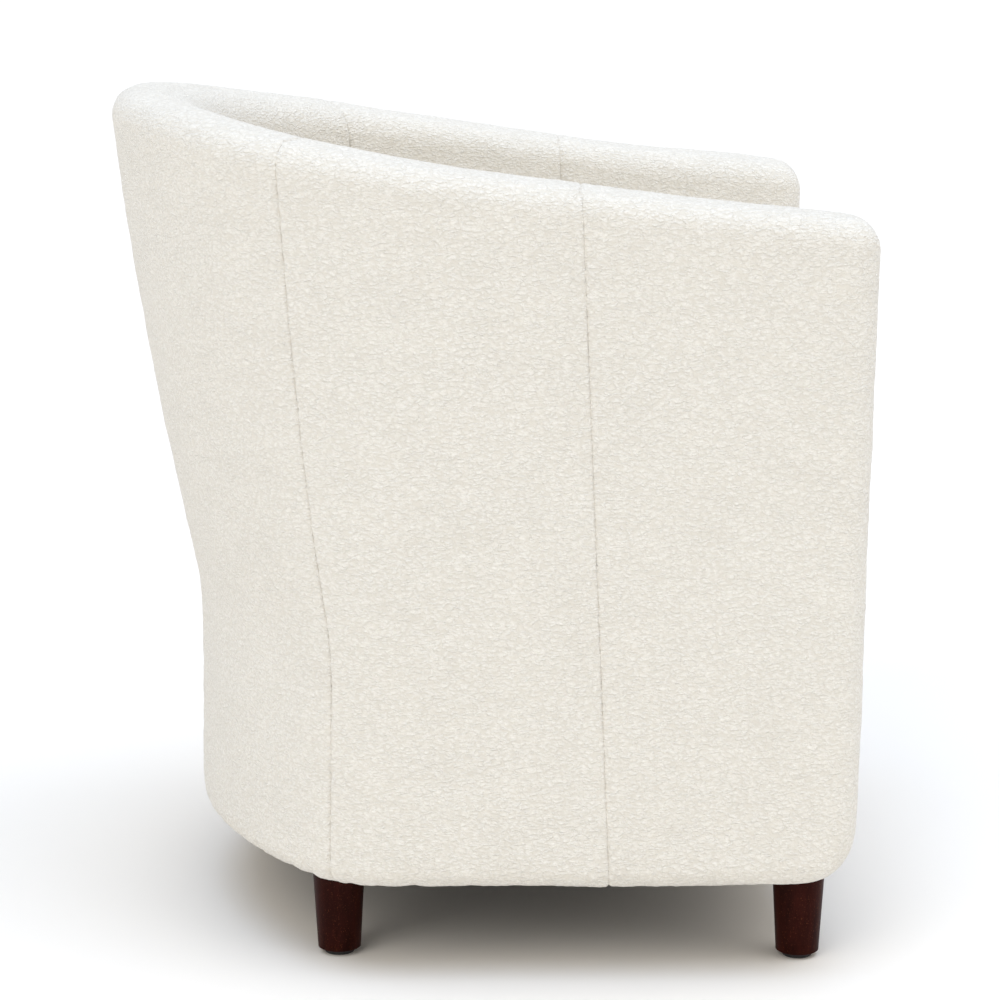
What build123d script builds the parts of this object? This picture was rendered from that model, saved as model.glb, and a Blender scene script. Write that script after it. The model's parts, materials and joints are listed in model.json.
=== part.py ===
from build123d import *
import os
from math import cos, sin, radians

os.makedirs("parts", exist_ok=True)

# Fits between pieces, in millimetres
FIT = 0.2
SEAM = 0.3
CUSHION_CLEARANCE = 2.0

# How far a cut runs past a face, and how close an edge lies to a face it belongs to
OVERRUN = 1.0
NEAR = 2.0

# Plan of the tub: front faces -Y, back is +Y
HALF_WIDTH = 324.0
BACK_AT_HEM = 257.0
BACK_AT_RIM = 334.5
FRONT_AT_HEM = 319.0
FRONT_AT_RIM = 329.0
CORNER_AT_HEM = 104.0
CORNER_AT_RIM = 274.0
BACK_ARC_ANGLE = 50.0

# Heights of the tub
HEM = 80.0
KNEE = 291.0
BACK_HEIGHT = 742.0
ARM_HEIGHT = 644.0
RIM_SAG = 12.0
LOFT_SPARE = 50.0
LOFT_TOP = BACK_HEIGHT + LOFT_SPARE
WAIST_SHARE = 0.31
WAIST = KNEE + WAIST_SHARE * (BACK_HEIGHT - KNEE)
WAIST_LEAN = 0.40

# Wall build-up from the outside in
WALL = 84.0
COVER = 4.0
LINER = 3.0
FRAME_DEPTH = 40.0
PADDING = COVER + FIT
LINER_IN = PADDING + LINER
FRAME_OUT = LINER_IN + FIT
FRAME_IN = FRAME_OUT + FRAME_DEPTH
INNER_LINER_OUT = FRAME_IN + FIT
INNER_LINER_IN = INNER_LINER_OUT + LINER
FOAM_OUT = INNER_LINER_IN + FIT
FOAM_IN = WALL - PADDING
EDGE_ROUND = 24.0
FRONT_PAD = 28.0
RIM_PAD = 38.0

# Boards and posts
BOARD = 18.0
BASE_INSET = 22.0
POST_WIDTH = 40.0
SIDE_POST_FROM_FRONT = 249.0
SIDE_POST_Y = SIDE_POST_FROM_FRONT - FRONT_AT_HEM
BACK_POST_SHARE = 0.46
BACK_POST_X = BACK_POST_SHARE * HALF_WIDTH
BACK_RAIL_DEPTH = 195.0
ARM_RAIL_END_Y = BACK_AT_HEM - BACK_RAIL_DEPTH
BASE_BOTTOM = HEM + COVER + FIT
BASE_TOP = BASE_BOTTOM + BOARD
SEAT_RING_TOP = 280.0
SEAT_RING_BOTTOM = SEAT_RING_TOP - BOARD
SEAT_HOLE_FROM_SIDE = 119.0
SEAT_HOLE_FROM_FRONT = 83.0
SEAT_HOLE_FROM_BACK = 167.0
SEAT_HOLE_HALF_WIDTH = HALF_WIDTH - SEAT_HOLE_FROM_SIDE
SEAT_HOLE_FRONT = SEAT_HOLE_FROM_FRONT - FRONT_AT_HEM
SEAT_HOLE_BACK = BACK_AT_HEM - SEAT_HOLE_FROM_BACK

# Seams between the cover panels
SIDE_SEAM_FROM_FRONT_AT_HEM = 210.0
SIDE_SEAM_FROM_FRONT_AT_RIM = 245.0
SIDE_SEAM_HEM_Y = SIDE_SEAM_FROM_FRONT_AT_HEM - FRONT_AT_HEM
SIDE_SEAM_RIM_Y = SIDE_SEAM_FROM_FRONT_AT_RIM - FRONT_AT_RIM
REAR_SEAM_HEM_BEARING = 31.0
REAR_SEAM_RIM_BEARING = 28.5
HEM_TURN = 26.0

# Legs, glides and their fastenings
LEG_TOP_RADIUS = 23.0
LEG_FOOT_RADIUS = 18.5
FRONT_LEG_FROM_SIDE = 67.0
FRONT_LEG_FROM_FRONT = 44.0
REAR_LEG_FROM_SIDE = 80.0
REAR_LEG_FROM_BACK = 136.0
FRONT_LEG = (HALF_WIDTH - FRONT_LEG_FROM_SIDE, FRONT_LEG_FROM_FRONT - FRONT_AT_HEM)
REAR_LEG = (HALF_WIDTH - REAR_LEG_FROM_SIDE, BACK_AT_HEM - REAR_LEG_FROM_BACK)
GLIDE_RADIUS = 13.0
GLIDE_HEIGHT = 5.0
NAIL_RADIUS = 1.25
NAIL_LENGTH = 15.0
BOLT_RADIUS = 4.0
BOLT_IN_LEG = 30.0
NUT_FLANGE_RADIUS = 11.0
NUT_FLANGE = 1.6
NUT_BARREL_RADIUS = 5.4
NUT_BARREL = 9.0
NUT_RELIEF = 12.0

# Seat springs
SPRING_COUNT = 5
SPRING_EDGE_SHARE = 0.4
SPRING_PITCH_X = 2 * SEAT_HOLE_HALF_WIDTH / (SPRING_COUNT + SPRING_EDGE_SHARE)
WIRE_RADIUS = 1.9
RUN_HALF = 16.0
BENDS = 16
SPRING_HOLD = 14.0
CLIP_WALL = 1.6
CLIP_WIDTH = 26.0
CLIP_FOOT = 18.0
TIE_RADIUS = 1.2
TIE_SHARES = (0.3, 0.7)
TIE_OVERHANG = 20.0
TIE_HALF_LENGTH = SEAT_HOLE_HALF_WIDTH + TIE_OVERHANG

# Seat deck, apron and loose cushion
FELT = 4.0
DECK_FOAM = 30.0
DECK_CLOTH = 1.5
DECK_CORNER = 60.0
APRON_RECESS = 10.0
APRON_ROUND = 14.0
CUSHION_COVER = 2.0
CUSHION_HEIGHT = 124.0
CUSHION_CORNER = 122.0
CUSHION_RECESS = 6.0
CUSHION_LEVELS = (
    (0.0, 16.0),
    (0.1, 5.0),
    (0.32, 0.0),
    (0.62, 0.0),
    (0.84, 6.0),
    (0.93, 26.0),
    (0.98, 64.0),
    (1.0, 108.0),
)

# Dust cover and staples
DUST_CLOTH = 0.8
DUST_INSET = 30.0
STAPLE = (10.0, 1.2, 0.6)
STAPLE_INSET = 36.0
STAPLES_PER_SIDE = 5
STAPLE_LEG_GAP = 45.0


def corner_centre(half_width, back, corner):
    """Centre of the left corner arc, and the radius of the back arc that it runs into."""
    turn = radians(BACK_ARC_ANGLE)
    back_radius = corner + (half_width - corner) / cos(turn)
    return half_width - corner, back - back_radius + (back_radius - corner) * sin(turn)


def plan(z, half_width, front, back, corner):
    """Closed plan outline at one height: straight front, straight sides, two corner arcs, one back arc."""
    turn = radians(BACK_ARC_ANGLE)
    centre_x, centre_y = corner_centre(half_width, back, corner)
    half_x = centre_x + corner * cos(turn / 2)
    half_y = centre_y + corner * sin(turn / 2)
    end_x = centre_x + corner * cos(turn)
    end_y = centre_y + corner * sin(turn)
    edges = [
        Line((-half_width, front), (half_width, front)),
        Line((half_width, front), (half_width, centre_y)),
        ThreePointArc((half_width, centre_y), (half_x, half_y), (end_x, end_y)),
        ThreePointArc((end_x, end_y), (0, back), (-end_x, end_y)),
        ThreePointArc((-end_x, end_y), (-half_x, half_y), (-half_width, centre_y)),
        Line((-half_width, centre_y), (-half_width, front)),
    ]
    return Plane.XY.offset(z) * make_face(edges)


def back_and_corner(z):
    """Reach of the back and radius of the rear corners at one height: upright to the knee, then leaning."""
    lean = 0.0
    if z > WAIST:
        lean = WAIST_LEAN + (1 - WAIST_LEAN) * (z - WAIST) / (BACK_HEIGHT - WAIST)
    elif z > KNEE:
        lean = WAIST_LEAN * (z - KNEE) / (WAIST - KNEE)
    back = BACK_AT_HEM + lean * (BACK_AT_RIM - BACK_AT_HEM)
    return back, CORNER_AT_HEM + lean * (CORNER_AT_RIM - CORNER_AT_HEM)


def tub_plan(z, inset, front_inset):
    """Plan of the tub at one height, set in from the outside of the cover."""
    back, corner = back_and_corner(z)
    rise = (z - HEM) / (ARM_HEIGHT - HEM)
    front = FRONT_AT_HEM + rise * (FRONT_AT_RIM - FRONT_AT_HEM)
    return plan(z, HALF_WIDTH - inset, front_inset - front, back - inset, corner - inset)


def corner_point(z, bearing):
    """Point on the outside of the left rear corner at one height and bearing from +X."""
    back, corner = back_and_corner(z)
    x, y = corner_centre(HALF_WIDTH, back, corner)
    return Vector(x + corner * cos(radians(bearing)), y + corner * sin(radians(bearing)), z)


def tub(inset, front_inset, bottom):
    """Solid block with the plan of the tub, from its bottom to above the rim."""
    levels = [z for z in (bottom, KNEE, WAIST, LOFT_TOP) if z >= bottom]
    return loft([tub_plan(z, inset, front_inset) for z in levels], ruled=True)


def rim_height(y):
    """Height of the rim along the side view: a line with a slight sag."""
    share = (y + FRONT_AT_RIM) / (BACK_AT_RIM + FRONT_AT_RIM)
    straight = ARM_HEIGHT + share * (BACK_HEIGHT - ARM_HEIGHT)
    return straight - 4 * RIM_SAG * share * (1 - share)


def below_rim(drop):
    """Everything lower than the rim by a given drop."""
    reach = BACK_AT_RIM + EDGE_ROUND
    ends = [(y, rim_height(y) - drop) for y in (-reach, 0.0, reach)]
    edges = [
        ThreePointArc(*ends),
        Line(ends[2], (reach, -HEM)),
        Line((reach, -HEM), (-reach, -HEM)),
        Line((-reach, -HEM), ends[0]),
    ]
    return extrude(Plane.YZ * make_face(edges), HALF_WIDTH + EDGE_ROUND, both=True)


def layer(outer, inner, front_inset, bottom, drop):
    """One layer of the tub wall between two insets, from a bottom height to a drop below the rim."""
    block = tub(outer, front_inset, bottom)
    hollow = tub(inner, -EDGE_ROUND, bottom - FIT)
    return (block - hollow) & below_rim(drop)


def band(x_low, x_high, y_low, y_high, bottom, top):
    """Upright box between given limits."""
    size = (x_high - x_low, y_high - y_low, top - bottom)
    centre = ((x_low + x_high) / 2, (y_low + y_high) / 2, (bottom + top) / 2)
    return Pos(*centre) * Box(*size)


def envelope(gap):
    """The whole wall with rounded rim, arm fronts and hem, shrunk by a gap on every side."""
    bottom = HEM + gap
    wall = layer(gap, WALL - gap, gap, bottom, gap)
    rounded = []
    for edge in wall.edges():
        box = edge.bounding_box()
        middle = edge @ 0.5
        upright = box.size.Z > KNEE / 2 and box.max.Y < gap + NEAR - FRONT_AT_HEM
        on_rim = abs(middle.Z - rim_height(middle.Y) + gap) < NEAR
        outside = abs(middle.X) > HALF_WIDTH - WALL / 2 - NEAR or middle.Y > BACK_AT_HEM - WALL / 2
        if upright or on_rim or (box.max.Z < bottom + NEAR and outside):
            rounded.append(edge)
    return fillet(rounded, EDGE_ROUND - gap)


def rod(x, y, bottom, top, radius):
    """Upright round bar."""
    return Pos(x, y, (bottom + top) / 2) * Cylinder(radius, top - bottom)


def other_side(shape):
    """The same piece on the other arm."""
    return mirror(shape, about=Plane.YZ)


def save(name, shape):
    """One file per piece; a list is kept as a group of separate solids."""
    if isinstance(shape, list):
        shape = Compound(children=[s.solid() if len(s.solids()) == 1 else s for s in shape])
    export_step(shape, f"parts/{name}.step")


def save_pair(name, shape):
    """A piece of the sitter's left arm and its mirrored twin."""
    save(f"{name}_left", shape)
    save(f"{name}_right", other_side(shape))


LEGS = [(side * x, y) for x, y in (FRONT_LEG, REAR_LEG) for side in (1, -1)]
LEG_TOP = BASE_BOTTOM - FIT
LEG_FOOT = GLIDE_HEIGHT + FIT
NUT_SEAT = BASE_TOP + FIT
FAR = 2 * HALF_WIDTH
LEFT = band(0, FAR, -FAR, FAR, -HEM, LOFT_TOP)
ARM_PART = band(-FAR, FAR, -FAR, ARM_RAIL_END_Y - FIT, -HEM, LOFT_TOP)
BACK_PART = band(-FAR, FAR, ARM_RAIL_END_Y, FAR, -HEM, LOFT_TOP)
BEHIND_FRONT_PAD = tub(-EDGE_ROUND, FRONT_PAD, -HEM)
INSIDE_ARMS = HALF_WIDTH - WALL - FIT
FRONT_PAD_BACK = FRONT_PAD - FRONT_AT_HEM
DECK_FRONT = FRONT_PAD_BACK + FIT


def save_arms_and_back(name, shape):
    """A layer that runs round the tub, kept as two arm pieces and one back piece."""
    save_pair(name, shape & ARM_PART & LEFT)
    save(f"{name}_back", shape & BACK_PART)


# Cover: a skin over the padded wall, open under the seat, sewn from five gores
skin = envelope(0.0) - envelope(COVER)
under_seat = tub(HEM_TURN, FRONT_PAD, -HEM) & band(-FAR, FAR, -FAR, FAR, -HEM, SEAT_RING_TOP + FIT)
for x, y in LEGS:
    skin = skin - rod(x, y, 0, LEG_TOP, LEG_TOP_RADIUS + FIT)
skin = (skin - under_seat) & LEFT
side_run = Vector(0, SIDE_SEAM_RIM_Y - SIDE_SEAM_HEM_Y, ARM_HEIGHT - HEM)
side_seam = Plane((0, SIDE_SEAM_HEM_Y, HEM), x_dir=(1, 0, 0), z_dir=Vector(1, 0, 0).cross(side_run))
rear_hem = corner_point(HEM, REAR_SEAM_HEM_BEARING)
rear_run = corner_point(ARM_HEIGHT, REAR_SEAM_RIM_BEARING) - rear_hem
rear_out = Vector(cos(radians(REAR_SEAM_RIM_BEARING)), sin(radians(REAR_SEAM_RIM_BEARING)), 0)
rear_seam = Plane(rear_hem, x_dir=rear_out, z_dir=rear_run.cross(rear_out))
front_gore = split(skin, bisect_by=side_seam.offset(SEAM / 2), keep=Keep.TOP)
behind_side_seam = split(skin, bisect_by=side_seam.offset(-SEAM / 2), keep=Keep.BOTTOM)
side_gore = split(behind_side_seam, bisect_by=rear_seam.offset(-SEAM / 2), keep=Keep.BOTTOM)
back_half = split(behind_side_seam, bisect_by=rear_seam.offset(SEAM / 2), keep=Keep.TOP)
save_pair("cover_front", front_gore)
save_pair("cover_side", side_gore)
save("cover_back", back_half + other_side(back_half))

# Padding under the cover
padding = envelope(PADDING)
arm_front_pad = padding - BEHIND_FRONT_PAD
save_pair("arm_front_pad", arm_front_pad & LEFT)
rim_pad = (padding & tub(-EDGE_ROUND, FRONT_PAD + FIT, -HEM)) - below_rim(RIM_PAD)
save_arms_and_back("rim_pad", rim_pad)
inner_foam = layer(FOAM_OUT, FOAM_IN, FRONT_PAD + FIT, SEAT_RING_TOP + FIT, RIM_PAD + FIT)
save_arms_and_back("inner_foam", inner_foam)

# Fibreboard liners either side of the frame
outer_liner = layer(PADDING, LINER_IN, FRONT_PAD + FIT, HEM + EDGE_ROUND + FIT, RIM_PAD + FIT)
save_arms_and_back("outer_liner", outer_liner)
inner_liner = layer(INNER_LINER_OUT, INNER_LINER_IN, FRONT_PAD + FIT, SEAT_RING_TOP + FIT, RIM_PAD + FIT)
save_arms_and_back("inner_liner", inner_liner)

# Timber frame: rails under the rim, posts between them and the base board
frame = layer(FRAME_OUT, FRAME_IN, FRONT_PAD + FIT, BASE_TOP + FIT, RIM_PAD + FIT)
rail_drop = RIM_PAD + FIT + BOARD
save_arms_and_back("top_rail", frame - below_rim(rail_drop))
posts = frame & below_rim(rail_drop + FIT)
front_post_end = POST_WIDTH + FRONT_PAD - FRONT_AT_HEM
save_pair("front_post", posts & band(0, FAR, -FAR, front_post_end, 0, LOFT_TOP))
side_post_span = (SIDE_POST_Y - POST_WIDTH / 2, SIDE_POST_Y + POST_WIDTH / 2)
save_pair("side_post", posts & band(0, FAR, *side_post_span, 0, LOFT_TOP))
back_post_span = (BACK_POST_X - POST_WIDTH / 2, BACK_POST_X + POST_WIDTH / 2)
save_pair("back_post", posts & band(*back_post_span, ARM_RAIL_END_Y, FAR, 0, LOFT_TOP))
save("centre_post", posts & band(-POST_WIDTH / 2, POST_WIDTH / 2, ARM_RAIL_END_Y, FAR, 0, LOFT_TOP))

# Base board, seat ring and front board
base = extrude(tub_plan(BASE_BOTTOM, BASE_INSET, FRONT_PAD + FIT), BOARD)
for x, y in LEGS:
    base = base - rod(x, y, 0, BASE_TOP + OVERRUN, NUT_BARREL_RADIUS + FIT)
save("base_board", base)
ring_edge = FRAME_IN + FIT
ring_half = HALF_WIDTH - ring_edge
ring_plan = plan(SEAT_RING_BOTTOM, ring_half, DECK_FRONT, BACK_AT_HEM - ring_edge, CORNER_AT_HEM - ring_edge)
seat_hole_span = (-SEAT_HOLE_HALF_WIDTH, SEAT_HOLE_HALF_WIDTH)
seat_hole = band(*seat_hole_span, SEAT_HOLE_FRONT, SEAT_HOLE_BACK, 0, LOFT_TOP)
save("seat_ring", extrude(ring_plan, BOARD) - seat_hole)
front_board_span = (BASE_TOP + FIT, SEAT_RING_BOTTOM - FIT)
front_board = band(-ring_half, ring_half, DECK_FRONT, DECK_FRONT + BOARD, *front_board_span)
for x, y in LEGS:
    front_board = front_board - rod(x, y, BASE_TOP, BASE_TOP + NUT_RELIEF, NUT_FLANGE_RADIUS + SEAM)
save("front_board", front_board)

# Legs with hanger bolts, tee nuts and glides
leg_names = ("leg_front_left", "leg_front_right", "leg_rear_left", "leg_rear_right")
bolts = []
nuts = []
glides = []
for name, (x, y) in zip(leg_names, LEGS):
    leg = Pos(x, y, (LEG_FOOT + LEG_TOP) / 2) * Cone(LEG_FOOT_RADIUS, LEG_TOP_RADIUS, LEG_TOP - LEG_FOOT)
    leg = leg - rod(x, y, LEG_TOP - BOLT_IN_LEG - FIT, LEG_TOP + OVERRUN, BOLT_RADIUS + FIT)
    leg = leg - rod(x, y, LEG_FOOT - OVERRUN, GLIDE_HEIGHT + NAIL_LENGTH + FIT, NAIL_RADIUS + FIT)
    save(name, leg)
    bolts.append(rod(x, y, LEG_TOP - BOLT_IN_LEG, NUT_SEAT + NUT_FLANGE, BOLT_RADIUS))
    nut = rod(x, y, NUT_SEAT, NUT_SEAT + NUT_FLANGE, NUT_FLANGE_RADIUS)
    nut = nut + rod(x, y, NUT_SEAT - NUT_BARREL, NUT_SEAT, NUT_BARREL_RADIUS)
    nuts.append(nut - rod(x, y, 0, LOFT_TOP, BOLT_RADIUS + FIT))
    glide = fillet(rod(x, y, 0, GLIDE_HEIGHT, GLIDE_RADIUS).edges().sort_by(Axis.Z)[0], GLIDE_HEIGHT / 4)
    glides.append(glide + rod(x, y, GLIDE_HEIGHT, GLIDE_HEIGHT + NAIL_LENGTH, NAIL_RADIUS))
save("hanger_bolts", bolts)
save("tee_nuts", nuts)
save("glides", glides)

# Zigzag seat springs, held in folded clips and joined by two tie wires
wire_z = SEAT_RING_TOP + 2 * FIT + CLIP_WALL + WIRE_RADIUS
spring_front = SEAT_HOLE_FRONT - SPRING_HOLD
spring_back = SEAT_HOLE_BACK + SPRING_HOLD
bend = (spring_back - spring_front) / BENDS / 2


def spring(x):
    """One wire that runs to and fro between half-round bends."""
    path = [Line((x - RUN_HALF, spring_front, wire_z), (x + RUN_HALF, spring_front, wire_z))]
    side = 1
    for number in range(BENDS):
        y = spring_front + 2 * bend * number
        edge = x + side * RUN_HALF
        turned = (edge, y + 2 * bend, wire_z)
        path.append(ThreePointArc((edge, y, wire_z), (edge + side * bend, y + bend, wire_z), turned))
        side = -side
        path.append(Line(turned, (x + side * RUN_HALF, y + 2 * bend, wire_z)))
    start = Plane((x - RUN_HALF, spring_front, wire_z), z_dir=(1, 0, 0))
    return sweep(start * Circle(WIRE_RADIUS), path=Wire([piece.edge() for piece in path]))


def clip(x, y, way):
    """A folded steel clip: a foot on the board and a square loop round the wire."""
    slot = WIRE_RADIUS + FIT
    loop = slot + CLIP_WALL
    half = CLIP_WIDTH / 2
    body = band(x - half, x + half, y - loop, y + loop, wire_z - loop, wire_z + loop)
    ends = sorted((y, y + way * CLIP_FOOT))
    body = body + band(x - half, x + half, *ends, wire_z - loop, wire_z - slot)
    return body - band(x - 2 * half, x + 2 * half, y - slot, y + slot, wire_z - slot, wire_z + slot)


clips = []
for number in range(SPRING_COUNT):
    x = (number - (SPRING_COUNT - 1) / 2) * SPRING_PITCH_X
    save(f"seat_spring_{number + 1}", spring(x))
    clips.append(clip(x, spring_front, -1))
    clips.append(clip(x, spring_back, 1))
save("spring_clips", clips)
print("least gap of a spring to itself:", round(2 * bend - 2 * WIRE_RADIUS, 2), "mm")
tie_z = wire_z + WIRE_RADIUS + FIT + TIE_RADIUS
ties = []
for share in TIE_SHARES:
    y = SEAT_HOLE_FRONT + share * (SEAT_HOLE_BACK - SEAT_HOLE_FRONT)
    ties.append(Pos(0, y, tie_z) * Rot(0, 90, 0) * Cylinder(TIE_RADIUS, 2 * TIE_HALF_LENGTH))
save("tie_wires", ties)


def deck_layer(bottom, thickness):
    """A flat layer of the seat deck, cut to the inside of the tub."""
    outline = plan(bottom, INSIDE_ARMS, DECK_FRONT, BACK_AT_HEM - WALL - FIT, DECK_CORNER)
    return extrude(outline, thickness)


# Seat deck: felt, foam and cloth over the springs
felt_bottom = tie_z + TIE_RADIUS + FIT
deck_foam_bottom = felt_bottom + FELT + FIT
deck_cloth_bottom = deck_foam_bottom + DECK_FOAM + FIT
DECK_TOP = deck_cloth_bottom + DECK_CLOTH
save("spring_felt", deck_layer(felt_bottom, FELT))
save("deck_foam", deck_layer(deck_foam_bottom, DECK_FOAM))
save("deck_cloth", deck_layer(deck_cloth_bottom, DECK_CLOTH))


def apron(gap):
    """The padded front under the cushion, shrunk by a gap at the front, top and bottom."""
    front = APRON_RECESS - FRONT_AT_HEM + gap
    block = band(-INSIDE_ARMS, INSIDE_ARMS, front, FRONT_PAD_BACK, HEM + gap, DECK_TOP - gap)
    edges = block.edges().filter_by(Axis.X).group_by(Axis.Y)[0]
    return fillet(edges, APRON_ROUND - gap)


save("apron_cover", apron(0.0) - apron(COVER))
save("apron_foam", apron(PADDING))


def cushion(gap):
    """Loose seat cushion: drawn-in sides and a crowned top, shrunk by a gap on every side."""
    low = DECK_TOP + FIT + gap
    tall = CUSHION_HEIGHT - 2 * gap
    half_width = HALF_WIDTH - WALL - CUSHION_CLEARANCE - gap
    back = BACK_AT_HEM - WALL - CUSHION_CLEARANCE - gap
    front = CUSHION_RECESS - FRONT_AT_HEM + gap
    corner = CUSHION_CORNER - gap
    sections = []
    for share, inset in CUSHION_LEVELS:
        level = low + share * tall
        sections.append(plan(level, half_width - inset, front + inset, back - inset, corner - inset))
    return loft(sections, ruled=True)


save("cushion_cover", cushion(0.0) - cushion(CUSHION_COVER))
save("cushion_core", cushion(CUSHION_COVER + FIT))

# Dust cover under the base, with notches for the legs, and its staples
dust_top = BASE_BOTTOM - FIT
dust = extrude(tub_plan(dust_top - DUST_CLOTH, DUST_INSET, FRONT_PAD + 2 * FIT), DUST_CLOTH)
for x, y in LEGS:
    dust = dust - rod(x, y, 0, BASE_TOP, LEG_TOP_RADIUS + FIT)
save("dust_cover", dust)
staple_z = dust_top - DUST_CLOTH - FIT - STAPLE[2] / 2
staples = []
staple_front = DECK_FRONT + STAPLE_INSET - DUST_INSET
staple_low = FRONT_LEG[1] + STAPLE_LEG_GAP
staple_high = REAR_LEG[1] - STAPLE_LEG_GAP
for number in range(STAPLES_PER_SIDE):
    share = number / (STAPLES_PER_SIDE - 1)
    reach = (FRONT_LEG[0] - STAPLE_LEG_GAP) * (2 * share - 1)
    staples.append(Pos(reach, staple_front, staple_z) * Box(*STAPLE))
    side_spot = Pos(HALF_WIDTH - STAPLE_INSET, staple_low + share * (staple_high - staple_low), staple_z)
    upright = side_spot * Rot(0, 0, 90) * Box(*STAPLE)
    staples.append(upright)
    staples.append(other_side(upright))
save("dust_staples", staples)
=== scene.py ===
import json
import math

import bmesh
import bpy
import numpy as np
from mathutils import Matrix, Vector, noise


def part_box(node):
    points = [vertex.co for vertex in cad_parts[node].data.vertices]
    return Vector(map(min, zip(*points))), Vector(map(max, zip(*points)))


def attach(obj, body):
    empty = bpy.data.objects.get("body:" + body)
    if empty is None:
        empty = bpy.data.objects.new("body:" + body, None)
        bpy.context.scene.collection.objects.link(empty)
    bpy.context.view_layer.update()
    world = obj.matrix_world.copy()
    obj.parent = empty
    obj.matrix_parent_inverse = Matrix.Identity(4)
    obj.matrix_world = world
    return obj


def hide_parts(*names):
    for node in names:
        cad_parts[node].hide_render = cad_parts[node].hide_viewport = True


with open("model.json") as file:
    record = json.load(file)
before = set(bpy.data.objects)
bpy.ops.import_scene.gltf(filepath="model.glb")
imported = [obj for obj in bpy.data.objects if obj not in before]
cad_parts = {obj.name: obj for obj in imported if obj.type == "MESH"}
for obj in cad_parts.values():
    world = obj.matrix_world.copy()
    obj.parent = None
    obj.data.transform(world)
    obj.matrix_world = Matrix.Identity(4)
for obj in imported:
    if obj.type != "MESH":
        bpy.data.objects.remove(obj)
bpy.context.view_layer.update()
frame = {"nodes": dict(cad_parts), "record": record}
nodes = frame["nodes"]

# Sizes of the tub in metres, within a few millimetres of the CAD model's
HALF_WIDTH = 0.324
BACK_AT_HEM, BACK_AT_RIM = 0.2565, 0.3310
FRONT_AT_HEM, FRONT_AT_RIM = 0.3175, 0.3265
CORNER_AT_HEM, CORNER_AT_RIM = 0.104, 0.274
BACK_ARC = math.radians(50)
HEM, KNEE = 0.0785, 0.291
BACK_HEIGHT, ARM_HEIGHT, RIM_SAG = 0.7395, 0.6410, 0.0135
WALL = 0.084
SEAT_LEVEL = 0.300
ARM_FRONT_RISE = 0.0055
ARM_FRONT_LOW = HEM + ARM_FRONT_RISE
UNDER_DROP = 0.002

# Lean of the back: the power of its curve, then the knee's softness and fade as shares of the rise
LEAN_POWER, KNEE_SOFTNESS, KNEE_FADE = 0.78, 0.06, 0.5

# Roundings of the cover
HEM_ROUND = 0.019
HEM_TURN = 0.024
FRONT_HEM_ROUND, FRONT_HEM_TURN, FRONT_HEM_BLEND = 0.050, 0.040, 0.090
FRONT_ROUND, FRONT_CROWN = 0.029, 0.003
FRONT_DROOP, FRONT_DROOP_REACH = 0.005, 0.09
RIM_CROWN = 0.002
OUTER_ROUND_ARM, OUTER_ROUND_REAR, OUTER_ROUND_BACK = 0.022, 0.026, 0.036
INNER_ROUND = 0.026
LEAST_ROUND = 0.002

# Seams: their places, the groove, the cloth turned in behind it and the puckers beside it
SIDE_SEAM_HEM_Y, SIDE_SEAM_RIM_Y = -0.109, -0.084
REAR_SEAM_HEM, REAR_SEAM_RIM = math.radians(31), math.radians(28.5)
SEAM_DEPTH, SEAM_REACH = 0.0018, 0.0034
SEAM_OVERLAP = 0.00015
SEAM_ALLOWANCE = (0.0006, 0.006)
FAR_FROM_SEAM = 1.0
PUCKER_HEIGHT, PUCKER_PITCH, PUCKER_REACH = 0.0005, 0.016, 0.009
PUCKER_SLANT, PUCKER_WANDER, PUCKER_WANDER_RATE = 0.5, 3, 41

# Unevenness of the stuffed cloth: broad swells and finer ripples
COVER_SEED, APRON_SEED = 3.1, 41.0
SWELL_HEIGHT, SWELL_SCALE, SWELL_OCTAVES = 0.0013, 7.0, 2
RIPPLE_HEIGHT, RIPPLE_SCALE, RIPPLE_OCTAVES = 0.0005, 38.0, 3
RIPPLE_STRETCH, RIPPLE_SEED_STEP = np.array([1, 1, 1.6]), 5
SEED_SPREAD = (1.0, 1.7, 0.6)
NOISE_FALLOFF, NOISE_OCTAVE_STEP = 1.0, 2.0

# Hem tucks: their depth, how they fade upwards, where they are strongest and how they repeat
TUCK_DEPTH, TUCK_RISE, TUCK_FADE = 0.0016, 0.008, 0.022
TUCK_CENTRE_Y, TUCK_SPREAD, TUCK_LEAST = 0.13, 0.085, 0.25
TUCK_RATE, TUCK_WANDER, TUCK_WANDER_RATE = 61, 1.3, 17
TUCK_GROUP_RATE, TUCK_GROUP_SHIFT = 23, 0.7

# Loops of the cloth that stand out of the surface
NUB_HEIGHT, NUB_SIZE = 0.0010, 0.0042

# Mesh of the gores: typical runs set the counts, and columns lie closer beside a seam
STEP = 0.0045
OUTER_RUN, INNER_TOP = 0.54, 0.65
BACK_HALF_RUN, SIDE_RUN, FRONT_RUN = 0.36, 0.235, 0.185
HEM_ROWS, RIM_ROWS, UNDER_ROWS = 9, 10, 4
SEAM_COLUMNS = np.array([0.0, 0.0008, 0.0017, 0.0028, 0.0042, 0.0062])
FINE_BAND = SEAM_COLUMNS[-1]
FRONT_TURN_COLUMNS, FRONT_FLAT_COLUMNS = 8, 6
FIRST_HEIGHT, SETTLE_ROUNDS = 0.6, 6
WELD_GAP = 0.0004
TINY = 1e-12

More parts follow.
